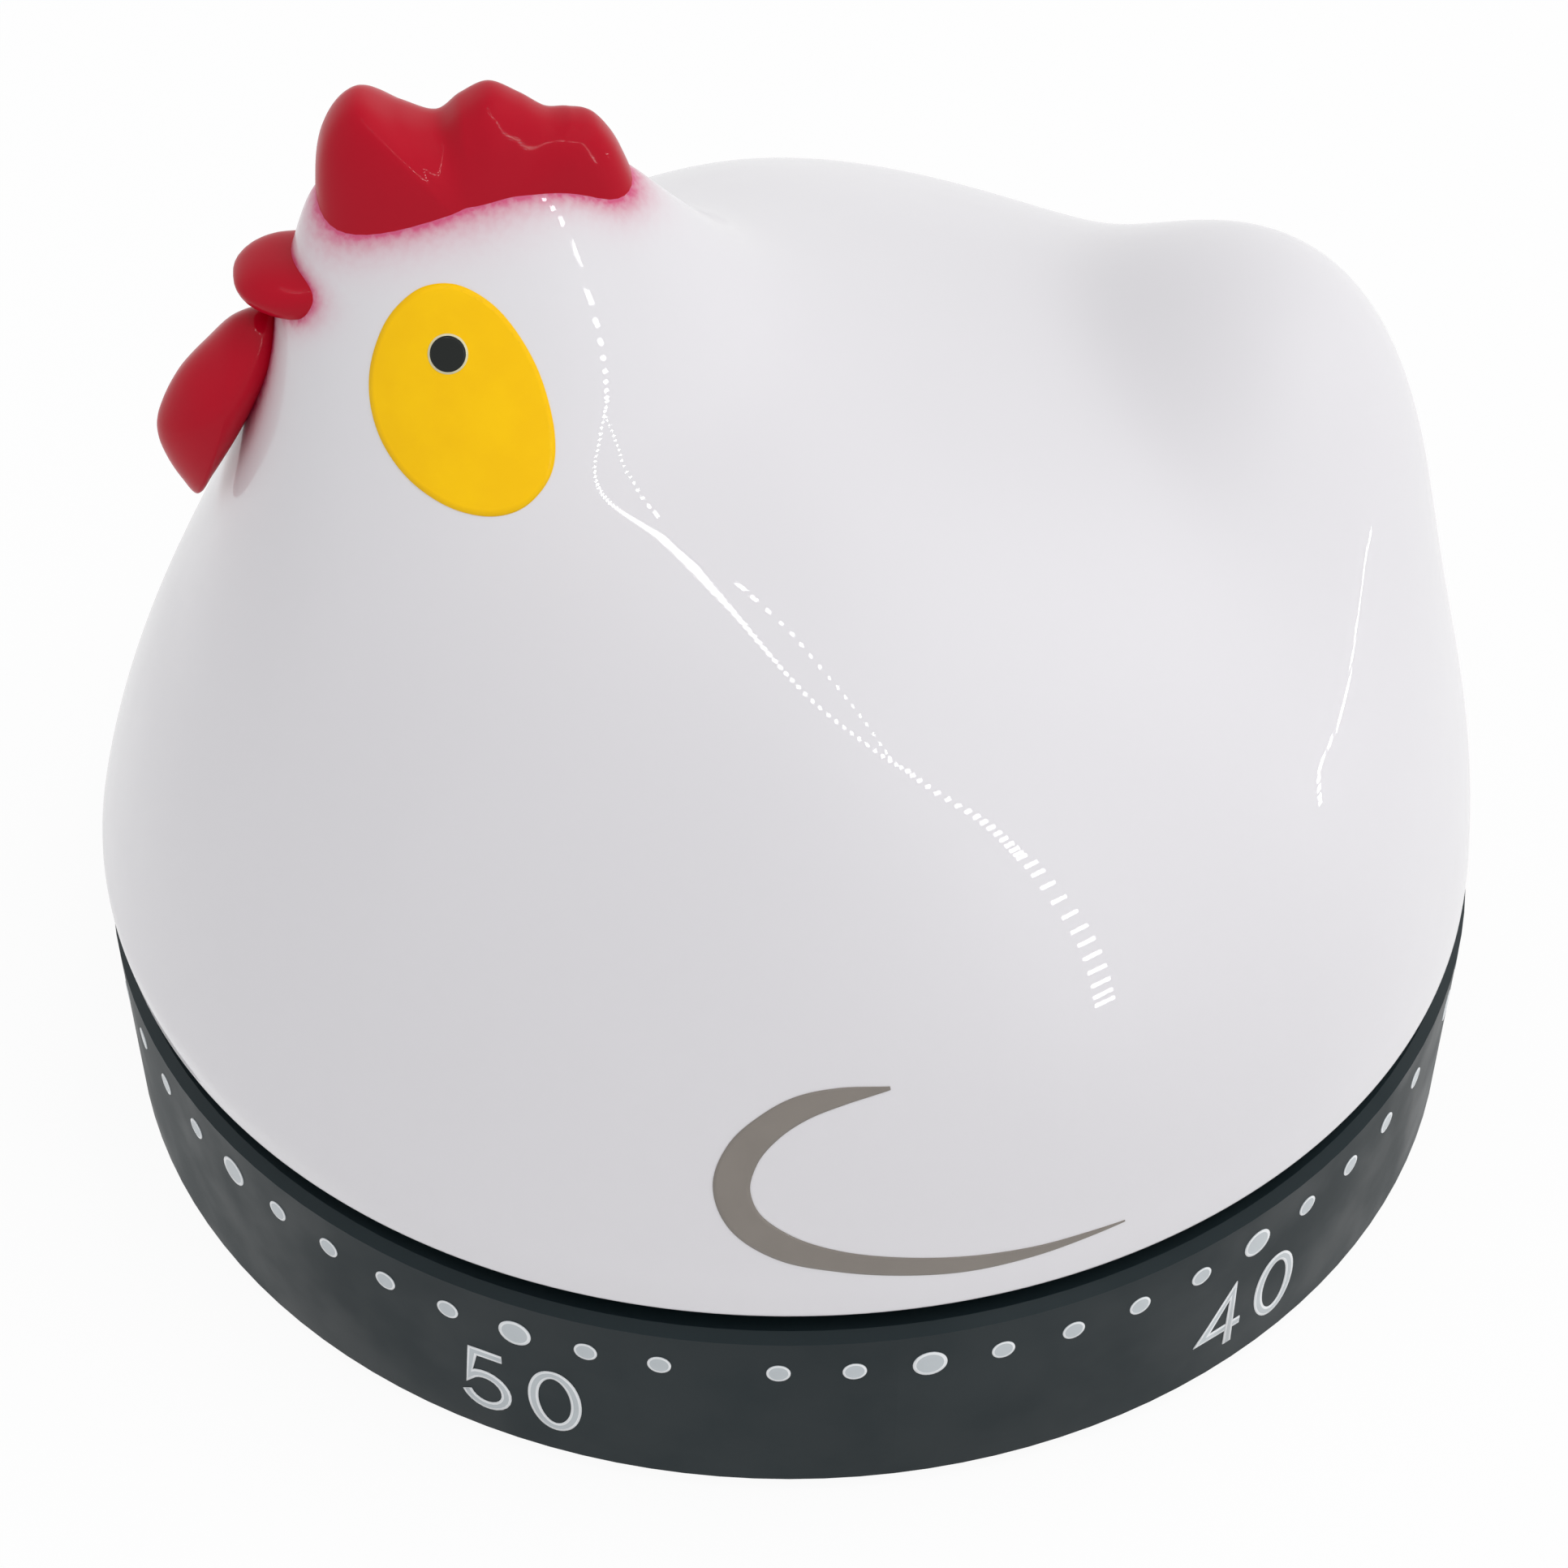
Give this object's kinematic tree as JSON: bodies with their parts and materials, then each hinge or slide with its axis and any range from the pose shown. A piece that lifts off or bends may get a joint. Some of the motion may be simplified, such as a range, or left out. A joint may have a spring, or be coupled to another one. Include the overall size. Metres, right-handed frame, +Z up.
{
  "type": "kitchen timer",
  "caption": "Wind-up kitchen timer: a sitting hen turns on a round numbered base that holds a clockwork train, escapement and bell.",
  "frame": {"origin": "centre of the rubber pad's underside, on the turning axis", "axes": "+Z up along the turning axis; at zero minutes the hen faces -Y and its left side is +X"},
  "size_m": [0.075, 0.075, 0.061],
  "materials": {
    "white_plastic": "glossy moulded ABS",
    "red_plastic": "glossy moulded ABS",
    "slate_plastic": "satin moulded ABS",
    "black_plastic": "satin moulded ABS",
    "rubber": "matt",
    "steel": "turned, zinc plated",
    "brass": "stamped",
    "spring_steel": "blued strip",
    "bell_steel": "nickel plated"
  },
  "bodies": {
    "base": {"base_ring": "slate_plastic", "base_floor": "slate_plastic", "base_screws": "steel", "rubber_pad": "rubber", "lower_plate": "brass", "upper_plate": "brass", "plate_pillars": "steel", "pillar_screws": "steel", "movement_screws": "steel", "mainspring": "spring_steel", "spring_post": "steel", "stop_post": "steel", "hairspring": "spring_steel", "hairspring_stud": "steel", "hammer_pin": "steel", "gong": "bell_steel", "gong_screw": "steel"},
    "hen": {"hen_shell": "white_plastic", "comb": "red_plastic", "beak": "red_plastic", "wattle": "red_plastic", "carrier": "black_plastic", "carrier_screws": "steel", "winding_arbor": "steel", "arbor_screw": "steel", "main_wheel": "brass", "ratchet_wheel": "steel", "click_pawl": "steel", "strike_cam": "steel"},
    "second": {"second_arbor": "steel", "second_wheel": "brass"},
    "third": {"third_arbor": "steel", "third_wheel": "brass"},
    "escape": {"escape_arbor": "steel", "escape_wheel": "brass"},
    "pallet": {"pallet_lever": "steel"},
    "balance": {"balance_wheel": "brass", "balance_staff": "steel"},
    "striker": {"hammer": "steel"}
  },
  "joints": [
    {"name": "hen_turn", "type": "hinge", "parent": "base", "child": "hen", "pos_m": [0, 0, 0.0103], "axis": [0, 0, -1], "range_deg": [0, 351]},
    {"name": "second_spin", "type": "hinge", "parent": "base", "child": "second", "pos_m": [0.0136, 0, 0.0103], "axis": [0, 0, -1], "continuous": true},
    {"name": "third_spin", "type": "hinge", "parent": "base", "child": "third", "pos_m": [0.00992, 0.01058, 0.0103], "axis": [0, 0, -1], "continuous": true},
    {"name": "escape_spin", "type": "hinge", "parent": "base", "child": "escape", "pos_m": [0.00136, 0.01494, 0.0103], "axis": [0, 0, -1], "continuous": true},
    {"name": "pallet_rock", "type": "hinge", "parent": "base", "child": "pallet", "pos_m": [-0.0051, 0.01253, 0.0103], "axis": [0, 0, -1], "range_deg": [-3, 3]},
    {"name": "balance_swing", "type": "hinge", "parent": "base", "child": "balance", "pos_m": [-0.01081, 0.01039, 0.0103], "axis": [0, 0, -1], "range_deg": [-150, 150]},
    {"name": "hammer_swing", "type": "hinge", "parent": "base", "child": "striker", "pos_m": [-0.00445, -0.01222, 0.0095], "axis": [0, 0, -1], "range_deg": [0, 6]}
  ],
  "couplings": [
    {"joint": "second_spin", "follows": "hen_turn", "ratio": -7.5},
    {"joint": "third_spin", "follows": "hen_turn", "ratio": 52.5},
    {"joint": "escape_spin", "follows": "hen_turn", "ratio": -367.5}
  ]
}
